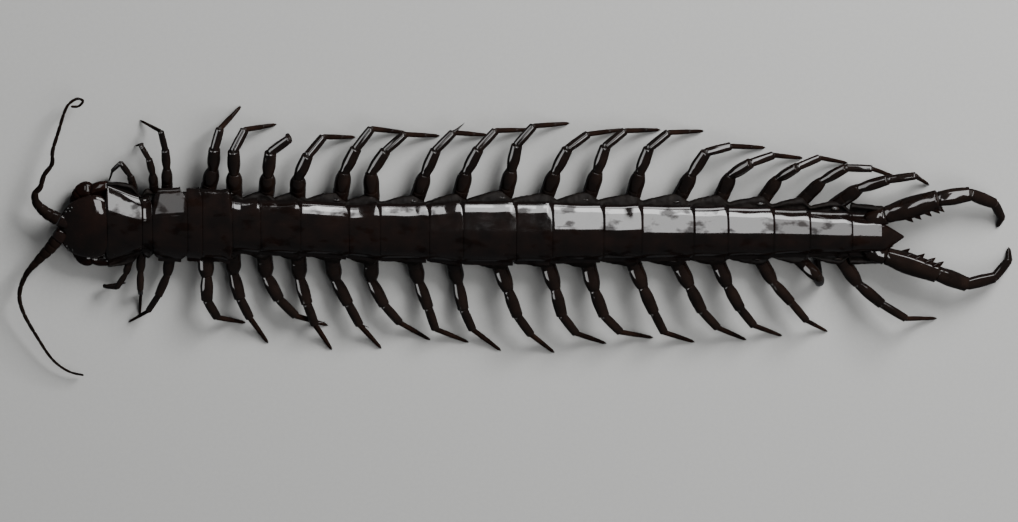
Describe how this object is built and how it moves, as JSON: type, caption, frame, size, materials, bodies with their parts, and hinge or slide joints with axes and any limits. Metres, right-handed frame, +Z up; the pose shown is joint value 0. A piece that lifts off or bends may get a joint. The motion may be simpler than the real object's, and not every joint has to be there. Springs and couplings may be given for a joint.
{
  "type": "giant centipede",
  "caption": "Life-size still model of a giant centipede standing on its legs, with curled antennae and spined ultimate legs held out behind",
  "frame": {"origin": "On the floor, under the middle of the box round the whole animal", "axes": "+X points from the head to the tail, +Y to the animal's right side and +Z up"},
  "size_m": [0.3145, 0.096, 0.0132],
  "materials": {
    "trunk_chitin": "glossy",
    "head_chitin": "glossy",
    "forcipule_chitin": "glossy",
    "leg_chitin": "glossy",
    "ultimate_leg_chitin": "glossy",
    "antenna_chitin": "satin"
  },
  "bodies": {
    "root": {"antenna_left": "antenna_chitin", "antenna_right": "antenna_chitin", "coxosternum": "forcipule_chitin", "forcipule_left": "forcipule_chitin", "forcipule_right": "forcipule_chitin", "head": "head_chitin", "leg_left_01": "leg_chitin", "leg_left_02": "leg_chitin", "leg_left_03": "leg_chitin", "leg_left_04": "leg_chitin", "leg_left_05": "leg_chitin", "leg_left_06": "leg_chitin", "leg_left_07": "leg_chitin", "leg_left_08": "leg_chitin", "leg_left_09": "leg_chitin", "leg_left_10": "leg_chitin", "leg_left_11": "leg_chitin", "leg_left_12": "leg_chitin", "leg_left_13": "leg_chitin", "leg_left_14": "leg_chitin", "leg_left_15": "leg_chitin", "leg_left_16": "leg_chitin", "leg_left_17": "leg_chitin", "leg_left_18": "leg_chitin", "leg_left_19": "leg_chitin", "leg_left_20": "leg_chitin", "leg_right_01": "leg_chitin", "leg_right_02": "leg_chitin", "leg_right_03": "leg_chitin", "leg_right_04": "leg_chitin", "leg_right_05": "leg_chitin", "leg_right_06": "leg_chitin", "leg_right_07": "leg_chitin", "leg_right_08": "leg_chitin", "leg_right_09": "leg_chitin", "leg_right_10": "leg_chitin", "leg_right_11": "leg_chitin", "leg_right_12": "leg_chitin", "leg_right_13": "leg_chitin", "leg_right_14": "leg_chitin", "leg_right_15": "leg_chitin", "leg_right_16": "leg_chitin", "leg_right_17": "leg_chitin", "leg_right_18": "leg_chitin", "leg_right_19": "leg_chitin", "leg_right_20": "leg_chitin", "trunk_01_03": "trunk_chitin", "trunk_04_06": "trunk_chitin", "trunk_07_09": "trunk_chitin", "trunk_10_12": "trunk_chitin", "trunk_13_15": "trunk_chitin", "trunk_16_18": "trunk_chitin", "trunk_19_21": "trunk_chitin", "ultimate_leg_left": "ultimate_leg_chitin", "ultimate_leg_right": "ultimate_leg_chitin"}
  },
  "joints": []
}
